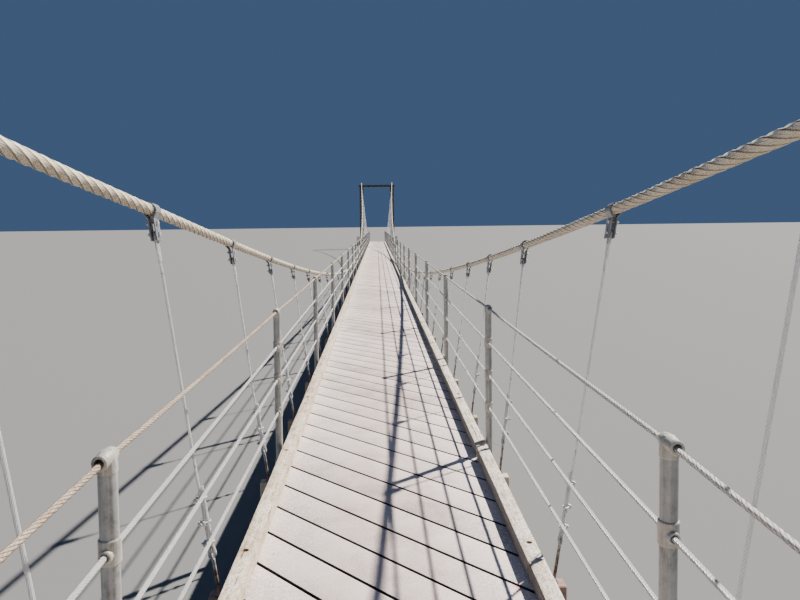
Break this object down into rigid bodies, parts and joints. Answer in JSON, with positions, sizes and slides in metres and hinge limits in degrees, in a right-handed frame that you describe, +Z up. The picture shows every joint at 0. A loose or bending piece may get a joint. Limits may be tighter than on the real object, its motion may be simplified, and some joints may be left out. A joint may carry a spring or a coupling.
{
  "type": "scale model of a suspension footbridge",
  "caption": "Suspension footbridge as a scale model at one tenth: level timber deck and kerbs hung by hangers from main cables over steel portal towers, rope railings, anchor blocks.",
  "frame": {"origin": "on the ground, under the middle of the span and the middle of the deck", "axes": "+X across the deck to the right when walking north, +Y along the bridge to the north tower, +Z up"},
  "size_m": [0.4374, 9.82, 0.6133],
  "materials": {
    "wire_rope": "weathered galvanised wire rope, cream-grey with olive shadow in the lay",
    "galvanised_steel": "dull galvanised pipe, light rust at the joints",
    "tower_steel": "dark grey-green weathered paint",
    "deck_timber": "pinkish grey weathered planks",
    "kerb_timber": "beige-grey weathered sawn timber",
    "frame_timber": "reddish brown treated timber",
    "concrete": "board-marked cast concrete"
  },
  "bodies": {
    "root": {"main_cable_left": "wire_rope", "main_cable_right": "wire_rope", "railing_left_1": "galvanised_steel", "railing_left_2": "galvanised_steel", "railing_left_3": "galvanised_steel", "railing_left_4": "galvanised_steel", "railing_right_1": "galvanised_steel", "railing_right_2": "galvanised_steel", "railing_right_3": "galvanised_steel", "railing_right_4": "galvanised_steel", "deck_boards_1": "deck_timber", "floor_frame_1": "frame_timber", "deck_boards_2": "deck_timber", "floor_frame_2": "frame_timber", "deck_boards_3": "deck_timber", "floor_frame_3": "frame_timber", "deck_boards_4": "deck_timber", "floor_frame_4": "frame_timber", "kerb_left": "kerb_timber", "kerb_right": "kerb_timber", "tower_crossbeam_south": "tower_steel", "abutment_south": "concrete", "tower_footing_south_left": "concrete", "tower_leg_south_left": "tower_steel", "cable_saddle_south_left": "galvanised_steel", "anchor_block_south_left": "concrete", "anchor_socket_south_left": "galvanised_steel", "tower_footing_south_right": "concrete", "tower_leg_south_right": "tower_steel", "cable_saddle_south_right": "galvanised_steel", "anchor_block_south_right": "concrete", "anchor_socket_south_right": "galvanised_steel", "tower_crossbeam_north": "tower_steel", "abutment_north": "concrete", "tower_footing_north_left": "concrete", "tower_leg_north_left": "tower_steel", "cable_saddle_north_left": "galvanised_steel", "anchor_block_north_left": "concrete", "anchor_socket_north_left": "galvanised_steel", "tower_footing_north_right": "concrete", "tower_leg_north_right": "tower_steel", "cable_saddle_north_right": "galvanised_steel", "anchor_block_north_right": "concrete", "anchor_socket_north_right": "galvanised_steel"}
  },
  "joints": []
}
